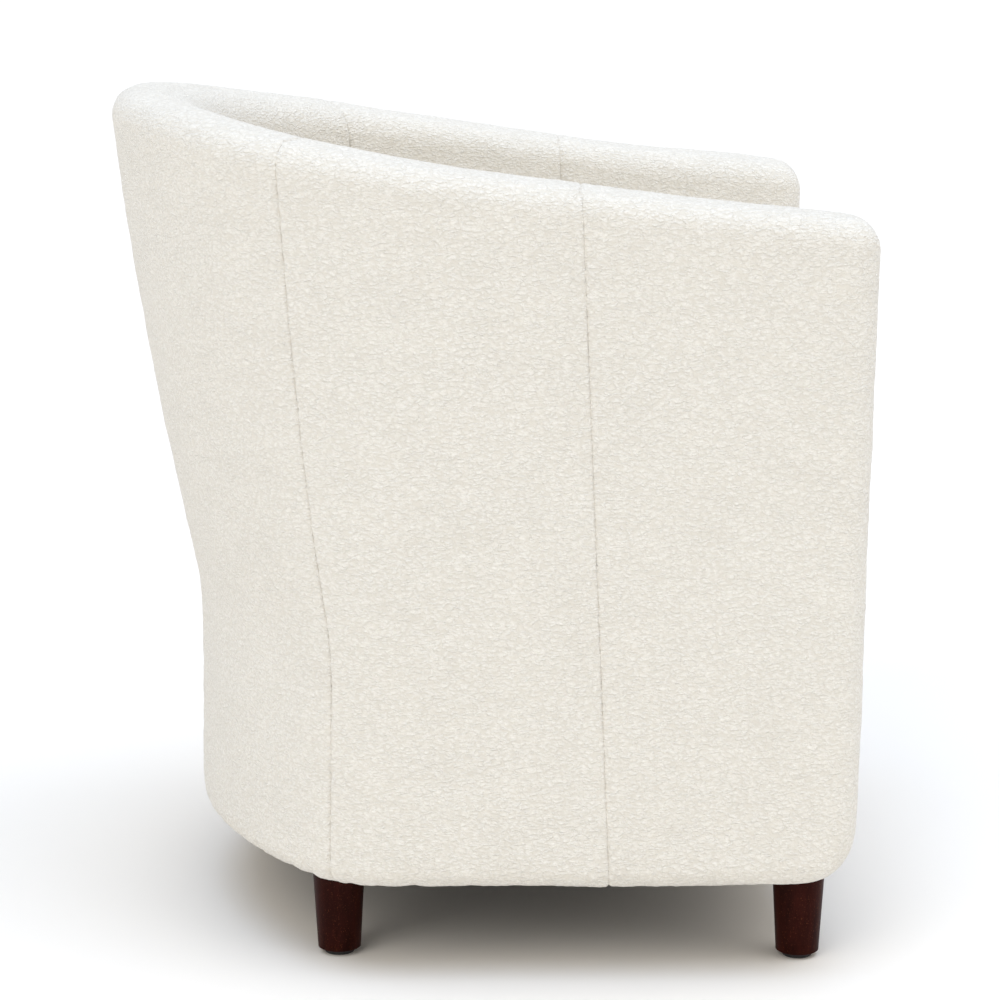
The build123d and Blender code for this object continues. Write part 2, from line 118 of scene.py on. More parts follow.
# Seat cushion: shares of its height with how far each level is drawn in from the CAD box
CUSHION_CORNER, CUSHION_LEAST_CORNER = 0.122, 0.012
CUSHION_LEVELS = (
    (0.01, 0.022),
    (0.05, 0.010),
    (0.14, 0.005),
    (0.38, 0.003),
    (0.62, 0.003),
    (0.80, 0.008),
    (0.88, 0.018),
    (0.93, 0.045),
    (0.965, 0.085),
    (0.98, 0.118),
)
CUSHION_POINTS, ARC_POINTS = 220, 24
CUSHION_VOXEL, CUSHION_PRESSURE, CUSHION_SWELL, PUFF_FRAMES = 0.006, 4.0, 0.004, 20

# Apron under the seat front
APRON_ROUND, APRON_CROWN, APRON_INSET = 0.013, 0.002, 0.001
APRON_EDGE_DROP, APRON_EDGE_REACH = 0.004, 0.005
APRON_EDGE_COLUMNS = np.array([0, 0.001, 0.0022, 0.004])
APRON_RIGHT_MARGIN, APRON_LEFT_MARGIN, APRON_COLUMNS = 0.008, 0.0086, 100
APRON_TURN_ROWS, APRON_FACE_ROWS = 8, 46

# Seat deck and dust cover
DECK_CORNER, DECK_CLEARANCE, DECK_SEED = 0.060, 0.0008, 51.0
DUST_CORNER_INSET, DUST_SEED = 0.030, 61.0
SHEET_POINTS, SHEET_RINGS, SHEET_CORE = 200, 16, 0.12
SHEET_WAVE, SHEET_WAVE_SCALE, SHEET_WAVE_OCTAVES, SHEET_EDGE_FADE = 0.0004, 16.0, 2, 8

# Floor, world and camera
FLOOR_HALF, FLOOR_COLOUR = 60.0, (0.93, 0.885, 0.82, 1)
WORLD_COLOUR, WORLD_STRENGTH = (1.0, 0.985, 0.955, 1), 0.55
CAMERA_PLACE = (-2.5975, 0.0101, 0.8695)
CAMERA_YAW, CAMERA_PITCH = math.radians(0.69), math.radians(11.32)
CAMERA_SENSOR_MM, CAMERA_LENS_MM, CAMERA_FAR = 36.0, 102.66, 200


# Plan of the tub


def lean_at(z):
    """Share of the back's lean at a height: upright below the knee, then a curve."""
    x = (z - KNEE) / (BACK_HEIGHT - KNEE)
    soft = (x + np.sqrt(x * x + KNEE_SOFTNESS**2)) / 2
    fade = np.clip(1 - np.abs(x) / KNEE_FADE, 0, 1)
    return soft**LEAN_POWER - (KNEE_SOFTNESS / 2) ** LEAN_POWER * fade


def outline(z):
    """Back arc radius and centre, corner radius and centre, and front reach of the cover at a height."""
    lean = lean_at(z)
    back = BACK_AT_HEM + lean * (BACK_AT_RIM - BACK_AT_HEM)
    corner = CORNER_AT_HEM + lean * (CORNER_AT_RIM - CORNER_AT_HEM)
    radius = corner + (HALF_WIDTH - corner) / math.cos(BACK_ARC)
    centre_y = back - radius
    corner_y = centre_y + (radius - corner) * math.sin(BACK_ARC)
    rise = (z - HEM) / (ARM_HEIGHT - HEM)
    front = FRONT_AT_HEM + rise * (FRONT_AT_RIM - FRONT_AT_HEM)
    return radius, centre_y, corner, corner_y, front


def arc_lengths(radius, corner):
    """Lengths of half the back arc and of one corner arc."""
    return radius * (math.pi / 2 - BACK_ARC), corner * BACK_ARC


def path_point(z, along, inset):
    """Point of the left half of the wall: along is measured on the outside from the middle of the back."""
    radius, centre_y, corner, corner_y, _ = outline(z)
    back_length, corner_length = arc_lengths(radius, corner)
    back_angle = math.pi / 2 - along / radius
    corner_angle = BACK_ARC - (along - back_length) / corner
    on_back = along < back_length
    on_corner = along < back_length + corner_length
    back_x = (radius - inset) * np.cos(back_angle)
    back_y = centre_y + (radius - inset) * np.sin(back_angle)
    corner_x = HALF_WIDTH - corner + (corner - inset) * np.cos(corner_angle)
    turned_y = corner_y + (corner - inset) * np.sin(corner_angle)
    arm_x = HALF_WIDTH - inset
    arm_y = corner_y - (along - back_length - corner_length)
    x = np.where(on_back, back_x, np.where(on_corner, corner_x, arm_x))
    y = np.where(on_back, back_y, np.where(on_corner, turned_y, arm_y))
    return x, y


def stations(z):
    """Places along the path of the rear seam, the side seam and the start of the arm front."""
    radius, _, corner, corner_y, front = outline(z)
    back_length, corner_length = arc_lengths(radius, corner)
    share = (z - HEM) / (ARM_HEIGHT - HEM)
    bearing = REAR_SEAM_HEM + share * (REAR_SEAM_RIM - REAR_SEAM_HEM)
    rear = back_length + (BACK_ARC - bearing) * corner
    side_y = SIDE_SEAM_HEM_Y + share * (SIDE_SEAM_RIM_Y - SIDE_SEAM_HEM_Y)
    arm = back_length + corner_length
    return rear, arm + corner_y - side_y, arm + corner_y + front - FRONT_ROUND


def rim_height(y):
    """Height of the rim: a sagging line from the arm fronts to the back, drooping at the front."""
    share = (y + FRONT_AT_RIM) / (BACK_AT_RIM + FRONT_AT_RIM)
    straight = ARM_HEIGHT + share * (BACK_HEIGHT - ARM_HEIGHT)
    droop = FRONT_DROOP * np.clip(1 - (y + FRONT_AT_RIM) / FRONT_DROOP_REACH, 0, 1) ** 2
    return straight - 4 * RIM_SAG * share * (1 - share) - droop


# Mesh helpers


def smooth_shade(mesh):
    mesh.polygons.foreach_set("use_smooth", [True] * len(mesh.polygons))


def link(name, verts, faces, material):
    """New smooth mesh object in the scene."""
    mesh = bpy.data.meshes.new(name)
    mesh.from_pydata([tuple(v) for v in verts], [], faces)
    mesh.validate()
    mesh.materials.append(material)
    smooth_shade(mesh)
    obj = bpy.data.objects.new(name, mesh)
    bpy.context.scene.collection.objects.link(obj)
    return obj


def grid_faces(rows, cols):
    faces = []
    for r in range(rows - 1):
        for c in range(cols - 1):
            a = r * cols + c
            faces.append((a, a + 1, a + cols + 1, a + cols))
    return faces


def grid_normals(points):
    across = np.gradient(points, axis=1)
    up = np.gradient(points, axis=0)
    normal = np.cross(across, up)
    size = np.linalg.norm(normal, axis=2, keepdims=True)
    return normal / np.maximum(size, TINY)


def fractal(points, scale, octaves, seed):
    """Smooth noise in -1..1 at each point of an array."""
    flat = points.reshape(-1, 3)
    shift = Vector([seed * spread for spread in SEED_SPREAD])
    values = []
    for p in flat:
        place = Vector(p) * scale + shift
        values.append(noise.fractal(place, NOISE_FALLOFF, NOISE_OCTAVE_STEP, octaves))
    return np.array(values).reshape(points.shape[:-1])


def even(length):
    """Number of mesh steps along a length."""
    return max(2, round(length / STEP))


def weld_points(obj):
    """Join points that lie on each other."""
    work = bmesh.new()
    work.from_mesh(obj.data)
    bmesh.ops.remove_doubles(work, verts=work.verts, dist=WELD_GAP)
    work.to_mesh(obj.data)
    work.free()


def mirror_x(points):
    return points * np.array([-1.0, 1.0, 1.0])


# Materials


def new_material(name):
    material = bpy.data.materials.new(name)
    material.use_nodes = True
    tree = material.node_tree
    return material, tree, tree.nodes["Principled BSDF"]


def feed(tree, socket, value):
    """Link another node's output to a socket, or set the socket's own number or colour."""
    if isinstance(value, bpy.types.NodeSocket):
        tree.links.new(value, socket)
    else:
        socket.default_value = value


def node(tree, kind, **values):
    """New node: each value goes to the input of that name, or else to the node's own setting."""
    made = tree.nodes.new(kind)
    for key, value in values.items():
        if key in made.inputs:
            feed(tree, made.inputs[key], value)
        else:
            setattr(made, key, value)
    return made


def object_place(tree):
    return node(tree, "ShaderNodeTexCoord").outputs["Object"]


def stretched(tree, place, scale):
    """Coordinates drawn out differently along each axis."""
    return node(tree, "ShaderNodeMapping", Vector=place, Scale=scale).outputs["Vector"]


def noise_texture(tree, place, **values):
    return node(tree, "ShaderNodeTexNoise", Vector=place, **values).outputs["Fac"]


def remap(tree, value, start, end, low=0.0, high=1.0):
    """Straight change of a value from the range start to end into low to high."""
    made = node(tree, "ShaderNodeMapRange", Value=value)
    for socket, number in (("From Min", start), ("From Max", end), ("To Min", low), ("To Max", high)):
        made.inputs[socket].default_value = number
    return made.outputs["Result"]


def mix(tree, share, first, second, blend_type="MIX"):
    values = {"Fac": share, "Color1": first, "Color2": second}
    return node(tree, "ShaderNodeMixRGB", blend_type=blend_type, **values).outputs["Color"]


def bump(tree, shader, height, strength, distance):
    made = node(tree, "ShaderNodeBump", Strength=strength, Distance=distance, Height=height)
    feed(tree, shader.inputs["Normal"], made.outputs["Normal"])


def boucle(name, light, painted_gap_shade):
    """Looped cream cloth: small nubs drawn out sideways, with paler tops and painted shade darkening the
    gaps between them.
    """
    material, tree, shader = new_material(name)
    place = stretched(tree, object_place(tree), scale=(0.72, 0.72, 1.3))
    wobble = node(tree, "ShaderNodeTexNoise", Vector=place, Scale=190.0, Detail=2.0).outputs["Color"]
    bent = mix(tree, 0.006, place, wobble, "ADD")
    nubs = node(tree, "ShaderNodeTexVoronoi", feature="SMOOTH_F1", Vector=bent, Scale=400.0, Smoothness=0.45)
    loops = noise_texture(tree, bent, Scale=640.0, Detail=4.0, Roughness=0.65)
    patches = noise_texture(tree, place, Scale=26.0, Detail=3.0, Roughness=0.6)
    round_top = remap(tree, nubs.outputs["Distance"], start=0.05, end=0.75, low=1.0, high=0.0)
    loop_share = 0.55
    raised = node(tree, "ShaderNodeMath", operation="MULTIPLY_ADD")
    for socket, value in zip(raised.inputs, (loops, loop_share, round_top)):
        feed(tree, socket, value)
    height = raised.outputs["Value"]
    # Painted shade: the colour runs from the pale loop tops to the shade colour in the gaps between the
    # loops
    gap_shading_share = remap(tree, height, start=0.35, end=1.2)
    cloth = mix(tree, gap_shading_share, (*painted_gap_shade, 1), (*light, 1))
    cloud = remap(tree, patches, start=0.3, end=0.7, low=0.975, high=1.01)
    feed(tree, shader.inputs["Base Color"], mix(tree, 1.0, cloth, cloud, "MULTIPLY"))
    bump(tree, shader, height, strength=0.8, distance=0.0013)
    shader.inputs["Roughness"].default_value = 0.95
    shader.inputs["Specular IOR Level"].default_value = 0.15
    shader.inputs["Sheen Weight"].default_value = 0.25
    shader.inputs["Sheen Roughness"].default_value = 0.6
    return material


def stained_wood(name, dark, mid, fleck, scale, rough, shine):
    """Wood with long grain up the piece and pale flecks in the pores."""
    material, tree, shader = new_material(name)
    place = object_place(tree)
    long_place = stretched(tree, place, scale)
    grain = noise_texture(tree, long_place, Scale=6.0, Detail=8.0, Roughness=0.65, Distortion=0.4)
    ramp = node(tree, "ShaderNodeValToRGB", Fac=grain)
    for element, position, colour in zip(ramp.color_ramp.elements, (0.35, 0.72), (dark, mid)):
        element.position = position
        element.color = (*colour, 1)
    specks = noise_texture(tree, place, Scale=900.0, Detail=2.0)
    pores = remap(tree, specks, start=0.62, end=0.74)
    feed(tree, shader.inputs["Base Color"], mix(tree, pores, ramp.outputs["Color"], (*fleck, 1)))
    bump(tree, shader, grain, strength=0.15, distance=0.0006)
    shader.inputs["Roughness"].default_value = rough
    shader.inputs["Specular IOR Level"].default_value = shine
    return material


def plain(name, colour, rough, grain, metal=0.0):
    """Quiet finish: colour and roughness vary a little with a fine grain, which is also its bump."""
    material, tree, shader = new_material(name)
    spread = 0.08
    fine = noise_texture(tree, object_place(tree), Scale=grain, Detail=4.0)
    tint = remap(tree, fine, start=0.3, end=0.7, low=0.75, high=1.2)
    feed(tree, shader.inputs["Base Color"], mix(tree, 1.0, (*colour, 1), tint, "MULTIPLY"))
    dullest = min(rough + spread, 1.0)
    dull = remap(tree, fine, start=0.3, end=0.7, low=rough - spread, high=dullest)
    feed(tree, shader.inputs["Roughness"], dull)
    bump(tree, shader, fine, strength=0.3, distance=0.0006)
    shader.inputs["Metallic"].default_value = metal
    return material


def floor_material():
    material, _, shader = new_material("floor_white")
    shader.inputs["Base Color"].default_value = FLOOR_COLOUR
    shader.inputs["Roughness"].default_value = 1.0
    shader.inputs["Specular IOR Level"].default_value = 0.0
    return material


# The shade colour is painted shade in the gaps between the loops of the cloth
CREAM = boucle("boucle_cream", light=(0.90, 0.860, 0.784), painted_gap_shade=(0.76, 0.712, 0.626))
LEG_WOOD = stained_wood(
    "espresso_wood",
    dark=(0.014, 0.002, 0.0012),
    mid=(0.038, 0.006, 0.0036),
    fleck=(0.095, 0.030, 0.010),
    scale=(14, 14, 2.2),
    rough=0.42,
    shine=0.05,
)
FRAME_WOOD = stained_wood(
    "frame_wood",
    dark=(0.50, 0.34, 0.19),
    mid=(0.68, 0.50, 0.31),
    fleck=(0.45, 0.29, 0.16),
    scale=(9, 9, 2.0),
    rough=0.7,
    shine=0.3,
)
FIBREBOARD = plain("fibreboard", (0.34, 0.24, 0.14), rough=0.85, grain=300)
STEEL = plain("spring_steel", (0.55, 0.55, 0.56), rough=0.32, grain=500, metal=1.0)
GLIDE = plain("glide_black", (0.012, 0.012, 0.013), rough=0.55, grain=700)
DARK_CLOTH = plain("dark_cloth", (0.02, 0.02, 0.022), rough=0.95, grain=900)

SLOT_MATERIALS = {
    "leg_wood": LEG_WOOD,
    "frame_wood": FRAME_WOOD,
    "fibreboard": FIBREBOARD,
    "steel": STEEL,
    "glide": GLIDE,
    "dark_cloth": DARK_CLOTH,
    "felt": DARK_CLOTH,
    "foam": CREAM,
    "boucle": CREAM,
}
for part in frame["record"]["subparts"]:
    part_mesh = nodes[part["node"]].data
    part_mesh.materials.clear()
    part_mesh.materials.append(SLOT_MATERIALS[part["material_slot"]])


# Cover gores

NUB_TEXTURE = bpy.data.textures.new("nubs", "CLOUDS")
NUB_TEXTURE.noise_scale = NUB_SIZE
NUB_TEXTURE.noise_depth = 1
NUB_TEXTURE.noise_basis = "ORIGINAL_PERLIN"


def section(reach_down):
    """Rows round the wall, from under the hem, up the outside, over the rim and down the inside.
    Each row is (kind, share): the share runs along that stretch."""
    outer_rows = even(OUTER_RUN)
    inner_rows = even(INNER_TOP - reach_down)
    stretches = [("hem", HEM_ROWS), ("outer", outer_rows)]
    stretches += [(kind, RIM_ROWS) for kind in ("outer_rim", "top", "inner_rim")]
    rows = [(kind, k / count) for kind, count in stretches for k in range(count)]
    return rows + [("inner", k / inner_rows) for k in range(inner_rows + 1)]


def place_row(kind, share, along_of, shrink, reach_down, rim_round):
    """Points of one row: along_of(z) gives the path places, shrink pulls every side in.
    Place and height depend on each other, so they are worked out in a few rounds."""
    z = np.full(along_of(np.full(1, FIRST_HEIGHT)).shape, FIRST_HEIGHT)
    quarter = share * math.pi / 2
    outer_round = np.maximum(rim_round - shrink, LEAST_ROUND)
    inner_round = np.maximum(INNER_ROUND - shrink, LEAST_ROUND)
    for _ in range(SETTLE_ROUNDS):
        if kind == "hem":
            inset = shrink + HEM_TURN * (1 - np.sin(quarter))
        elif kind == "outer":
            inset = shrink + 0 * z
        elif kind == "outer_rim":
            inset = shrink + outer_round * (1 - np.cos(quarter))
        elif kind == "top":
            inset = shrink + outer_round + share * (WALL - 2 * shrink - outer_round - inner_round)
        elif kind == "inner_rim":
            inset = WALL - shrink - inner_round * (1 - np.sin(quarter))
        else:
            inset = WALL - shrink + 0 * z
        x, y = path_point(z, along_of(z), inset)
        rim = rim_height(y) - shrink
        if kind == "hem":
            z = HEM + HEM_ROUND * (1 - np.cos(quarter)) + 0 * z
        elif kind == "outer":
            z = HEM + HEM_ROUND + share * (rim - outer_round - HEM - HEM_ROUND)
        elif kind == "outer_rim":
            z = rim - outer_round * (1 - np.sin(quarter))
        elif kind == "top":
            z = rim + RIM_CROWN * np.sin(math.pi * share)
        elif kind == "inner_rim":
            z = rim - inner_round * (1 - np.cos(quarter))
        elif kind == "inner":
            z = rim - inner_round - share * (rim - inner_round - reach_down)
        else:
            z = reach_down - UNDER_DROP * share + 0 * z
    return np.stack([x, y, z + 0 * x], axis=-1)


def columns(length):
    """Shares across a gore, closer together beside its two seams."""
    fine = SEAM_COLUMNS[:-1] / length
    middle = np.linspace(FINE_BAND / length, 1 - FINE_BAND / length, even(length))
    return np.concatenate([fine, middle, 1 - fine[::-1]])


def gore_grid(low, high, length, sections, rim_rounds):
    """Grid of one gore between two path places, and each column's share of the way across."""
    shares = columns(length)
    rim_round = rim_rounds[0] + shares * (rim_rounds[1] - rim_rounds[0])

    def along_of(z):
        return low(z) + shares * (high(z) - low(z))

    no_shrink = 0.0
    rows = [place_row(kind, share, along_of, no_shrink, SEAT_LEVEL, rim_round) for kind, share in sections]
    return np.array(rows), shares


def wrinkles(points, seed):
    """Small unevenness of stuffed cloth, in metres along the normal."""
    swell = SWELL_HEIGHT * fractal(points, SWELL_SCALE, SWELL_OCTAVES, seed)
    ripple_seed = seed + RIPPLE_SEED_STEP
    ripple = RIPPLE_HEIGHT * fractal(points * RIPPLE_STRETCH, RIPPLE_SCALE, RIPPLE_OCTAVES, ripple_seed)
    return swell + ripple


def hem_gathers(points):
    """Short upright tucks at the hem, strongest round the rear corners."""
    x, y, z = points[..., 0], points[..., 1], points[..., 2]
    low = np.exp(-np.maximum(z - HEM - TUCK_RISE, 0) / TUCK_FADE)
    bend = np.exp(-(((y - TUCK_CENTRE_Y) / TUCK_SPREAD) ** 2)) + TUCK_LEAST
    angle = np.arctan2(y, np.abs(x) + TINY)
    wander = TUCK_WANDER * np.sin(angle * TUCK_WANDER_RATE)
    tucks = np.sin(angle * TUCK_RATE + wander) * np.sin(angle * TUCK_GROUP_RATE + TUCK_GROUP_SHIFT)
    return -TUCK_DEPTH * low * bend * np.clip(tucks, 0, 1)


def round_front_hem(points):
    """Draw the lower front corner of an arm back, more the nearer it is to the hem."""
    below = np.clip((HEM + FRONT_HEM_ROUND - points[..., 2]) / FRONT_HEM_ROUND, 0, 1)
    drawn = FRONT_HEM_TURN * (1 - np.sqrt(1 - below**2))
    nearness = np.clip(1 - (points[..., 1] + FRONT_AT_HEM) / FRONT_HEM_BLEND, 0, 1)
    return points + (drawn * nearness)[..., None] * np.array([0.0, 1.0, 0.0])


def seam_roll(distance, points):
    """Cloth turned in at a seam, with small puckers beside it."""
    turned = SEAM_DEPTH * np.clip(1 - distance / SEAM_REACH, 0, 1) ** 2
    run = points[..., 2] + PUCKER_SLANT * points[..., 1]
    wander = PUCKER_WANDER * np.sin(run * PUCKER_WANDER_RATE)
    puckers = np.sin(run * 2 * math.pi / PUCKER_PITCH + wander)
    return PUCKER_HEIGHT * puckers * np.exp(-distance / PUCKER_REACH) - turned


def seam_allowance(shaped, normals, distance):
    """The cloth runs on inside the wall at each edge that is sewn to another gore."""
    parts = [shaped]
    for depth in SEAM_ALLOWANCE:
        if distance[0, 0] < SEAM_REACH:
            parts.insert(0, (shaped[:, 0] - depth * normals[:, 0])[:, None])
        if distance[0, -1] < SEAM_REACH:
            parts.append((shaped[:, -1] - depth * normals[:, -1])[:, None])
    return np.concatenate(parts, axis=1)


def add_nubs(obj):
    """Small loops of the cloth stand out of the surface."""
    fine = obj.modifiers.new("fine", "SUBSURF")
    fine.levels = 1
    fine.render_levels = 1
    loops = obj.modifiers.new("loops", "DISPLACE")
    loops.texture = NUB_TEXTURE
    loops.texture_coords = "LOCAL"
    loops.strength = NUB_HEIGHT
    loops.mid_level = 0.5


def finish_gore(name, points, spread, replaced, weld=False):
    """Shape one gore from its grid and its columns' distances from the seams."""
    normals = grid_normals(points)
    distance = spread[None, :] + np.zeros(points.shape[:2])
    push = wrinkles(points, COVER_SEED) + hem_gathers(points) + seam_roll(distance, points)
    shaped = seam_allowance(points + normals * push[..., None], normals, distance)
    obj = link(name, shaped.reshape(-1, 3), grid_faces(*shaped.shape[:2]), CREAM)
    if weld:
        weld_points(obj)
    add_nubs(obj)
    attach(obj, "chair")
    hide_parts(*replaced)


def middle_place(z):
    return 0 * z


def back_gore_end(z):
    return stations(z)[0] + SEAM_OVERLAP


def side_gore_start(z):
    return stations(z)[0] - SEAM_OVERLAP


def side_gore_end(z):
    return stations(z)[1] + SEAM_OVERLAP


def front_gore_start(z):
    return stations(z)[1] - SEAM_OVERLAP


def front_place(z):
    return stations(z)[2]


def front_cap(rows):
    """Columns that carry a front gore round the edge of its arm front and over the flat of it."""
    turns = np.linspace(0, math.pi / 2, FRONT_TURN_COLUMNS + 1)[1:]
    flats = np.linspace(FRONT_ROUND, WALL / 2, FRONT_FLAT_COLUMNS + 1)[1:]
    steps = [(FRONT_ROUND * (1 - math.cos(t)), FRONT_ROUND * math.sin(t)) for t in turns]
    steps += [(s, FRONT_ROUND + FRONT_CROWN * (s - FRONT_ROUND) / (WALL / 2)) for s in flats]
    rim_round = np.full(1, OUTER_ROUND_ARM)
    cap = []
    for shrink, forward in steps:
        column = []
        for kind, share in rows:
            point = place_row(kind, share, front_place, shrink, ARM_FRONT_LOW, rim_round)[0]
            out = forward * (1 - share) if kind == "under" else forward
            column.append(point + np.array([0, -out, 0]))
        cap.append(column)
    return np.swapaxes(np.array(cap), 0, 1)


# Back gore: both halves share the middle line of the back, where there is no seam
back_rounds = (OUTER_ROUND_BACK, OUTER_ROUND_REAR)
wall_rows = section(SEAT_LEVEL)
half, half_shares = gore_grid(middle_place, back_gore_end, BACK_HALF_RUN, wall_rows, back_rounds)
kept_columns = half_shares >= FINE_BAND / BACK_HALF_RUN - TINY
kept_columns[0] = True
half = half[:, kept_columns]
half_shares = half_shares[kept_columns]
back = np.concatenate([half[:, :0:-1], mirror_x(half)], axis=1)
back_shares = np.concatenate([half_shares[:0:-1], half_shares])
back_distance = (1 - back_shares) * BACK_HALF_RUN
finish_gore("cover_back_gore", back, back_distance, ["cover_back", "inner_foam_back", "rim_pad_back"])

# Side gores
side_rounds = (OUTER_ROUND_REAR, OUTER_ROUND_ARM)
side, side_shares = gore_grid(side_gore_start, side_gore_end, SIDE_RUN, wall_rows, side_rounds)
side_distance = np.minimum(side_shares, 1 - side_shares) * SIDE_RUN
side_left = (side[:, ::-1], side_distance[::-1])
side_right = (mirror_x(side), side_distance)
for tag, shape in (("left", side_left), ("right", side_right)):
    finish_gore(f"cover_side_gore_{tag}", *shape, [f"cover_side_{tag}", f"inner_foam_{tag}"])

# Front gores wrap round the arm fronts
arm_rounds = (OUTER_ROUND_ARM, OUTER_ROUND_ARM)
front_rows = section(ARM_FRONT_LOW) + [("under", k / UNDER_ROWS) for k in range(1, UNDER_ROWS + 1)]
front, front_shares = gore_grid(front_gore_start, front_place, FRONT_RUN, front_rows, arm_rounds)
straight_columns = front_shares <= 1 - FINE_BAND / FRONT_RUN + TINY
front = front[:, straight_columns]
front_shares = front_shares[straight_columns]
caps = front_cap(front_rows)
front_all = round_front_hem(np.concatenate([front, caps], axis=1))
front_distance = np.concatenate([front_shares * FRONT_RUN, np.full(caps.shape[1], FAR_FROM_SEAM)])
front_left = (front_all[:, ::-1], front_distance[::-1])
front_right = (mirror_x(front_all), front_distance)
for tag, shape in (("left", front_left), ("right", front_right)):
    replaced = [f"cover_front_{tag}", f"arm_front_pad_{tag}", f"rim_pad_{tag}"]
    finish_gore(f"cover_front_gore_{tag}", *shape, replaced, weld=True)


# Seat: cushion, apron, deck and dust cover


def plan_ring(half_width, front, back, corner, count):
    """Closed plan outline of a cushion or sheet, as points from the front left corner round the back."""
    radius = corner + (half_width - corner) / math.cos(BACK_ARC)
    corner_x = half_width - corner
    corner_y = back - radius + (radius - corner) * math.sin(BACK_ARC)
    path = []
    for t in np.linspace(0, BACK_ARC, ARC_POINTS):
        path.append((corner_x + corner * math.cos(t), corner_y + corner * math.sin(t)))
    for t in np.linspace(BACK_ARC, math.pi / 2, ARC_POINTS)[1:]:
        path.append((radius * math.cos(t), back - radius + radius * math.sin(t)))
    right = [(-x, y) for x, y in path[:-1]][::-1]
    loop = np.array([(half_width, front)] + path + right + [(-half_width, front)])
    closed = np.vstack([loop, loop[:1]])
    lengths = np.concatenate([[0], np.cumsum(np.linalg.norm(np.diff(closed, axis=0), axis=1))])
    places = np.linspace(0, lengths[-1], count, endpoint=False)
    return np.stack([np.interp(places, lengths, closed[:, k]) for k in (0, 1)], axis=1)


def stack_rings(name, rings, material):
    """Closed skin through rings of equal count, capped by a point at each end."""
    count = len(rings[0])
    verts = [p for ring in rings for p in ring]
    faces = []
    for r in range(len(rings) - 1):
        for c in range(count):
            n = (c + 1) % count
            faces.append((r * count + c, r * count + n, (r + 1) * count + n, (r + 1) * count + c))
    for r, flip in ((0, True), (len(rings) - 1, False)):
        middle = len(verts)
        verts.append(np.mean(rings[r], axis=0))
        for c in range(count):
            tri = (r * count + c, r * count + (c + 1) % count, middle)
            faces.append(tri[::-1] if flip else tri)
    return link(name, verts, faces, material)


def puff(obj):
    """Cloth filled from inside: remeshed, blown up a little, each point held near its start."""
    bpy.context.view_layer.objects.active = obj
    obj.data.remesh_voxel_size = CUSHION_VOXEL
    bpy.ops.object.select_all(action="DESELECT")
    obj.select_set(True)
    bpy.ops.object.voxel_remesh()
    start = np.array([v.co[:] for v in obj.data.vertices])
    cloth = obj.modifiers.new("puff", "CLOTH")
    cloth.settings.use_pressure = True
    cloth.settings.uniform_pressure_force = CUSHION_PRESSURE
    cloth.settings.quality = 5
    cloth.settings.mass = 0.3
    cloth.settings.tension_stiffness = 20
    cloth.settings.bending_stiffness = 1.5
    cloth.settings.effector_weights.gravity = 0
    scene = bpy.context.scene
    for number in range(1, PUFF_FRAMES + 1):
        scene.frame_set(number)
    graph = bpy.context.evaluated_depsgraph_get()
    shaped = obj.evaluated_get(graph).to_mesh()
    moved = np.array([v.co[:] for v in shaped.vertices])
    obj.evaluated_get(graph).to_mesh_clear()
    obj.modifiers.remove(cloth)
    scene.frame_set(1)
    step = moved - start
    size = np.linalg.norm(step, axis=1, keepdims=True)
    held = start + step * np.minimum(1, CUSHION_SWELL / np.maximum(size, TINY))
    obj.data.vertices.foreach_set("co", held.reshape(-1))
    obj.data.update()


def flat_sheet(name, half_width, front, back, corner, z, thick, seed):
    """Closed thin sheet of dark cloth with slight waves, built as rings drawn in to the middle."""
    outer = plan_ring(half_width, front, back, corner, SHEET_POINTS)
    middle = np.array([0.0, (front + back) / 2])
    tops = []
    for share in np.linspace(SHEET_CORE, 1, SHEET_RINGS):
        flat = middle + (outer - middle) * share
        ring = np.column_stack([flat, np.full(len(flat), z + thick)])
        waves = SHEET_WAVE * fractal(ring, SHEET_WAVE_SCALE, SHEET_WAVE_OCTAVES, seed)
        ring[:, 2] += waves * min(1, (1 - share) * SHEET_EDGE_FADE)
        tops.append(ring)
    bottoms = [ring - np.array([0, 0, thick]) for ring in tops][::-1]
    return stack_rings(name, tops + bottoms, DARK_CLOTH)


def apron_profile(deep, tall):
    """Rows of the apron as (back from the face, up): under the edge, up the face and over the top."""
    quarter = np.linspace(0, math.pi / 2, APRON_TURN_ROWS)
    rows = [(deep, 0.0)]
    for t in quarter:
        rows.append((APRON_ROUND * (1 - math.sin(t)), APRON_ROUND * (1 - math.cos(t))))
    for s in np.linspace(0, 1, APRON_FACE_ROWS)[1:-1]:
        rows.append((-APRON_CROWN * math.sin(math.pi * s), APRON_ROUND + s * (tall - 2 * APRON_ROUND)))
    for t in quarter:
        rows.append((APRON_ROUND * (1 - math.cos(t)), tall - APRON_ROUND * (1 - math.sin(t))))
    rows.append((deep, tall))
    return rows


# Cushion: levels drawn in from its CAD box, then filled
low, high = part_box("cushion_cover")
cushion_rings = []
for share, inset in CUSHION_LEVELS:
    corner = max(CUSHION_CORNER - inset, CUSHION_LEAST_CORNER)
    ring = plan_ring(high[0] - inset, low[1] + inset, high[1] - inset, corner, CUSHION_POINTS)
    level = low[2] + share * (high[2] - low[2])
    cushion_rings.append(np.column_stack([ring, np.full(len(ring), level)]))
cushion = stack_rings("seat_cushion_boxed", cushion_rings, CREAM)
puff(cushion)
smooth_shade(cushion.data)
add_nubs(cushion)
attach(cushion, "seat_cushion")
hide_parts("cushion_cover", "cushion_core")

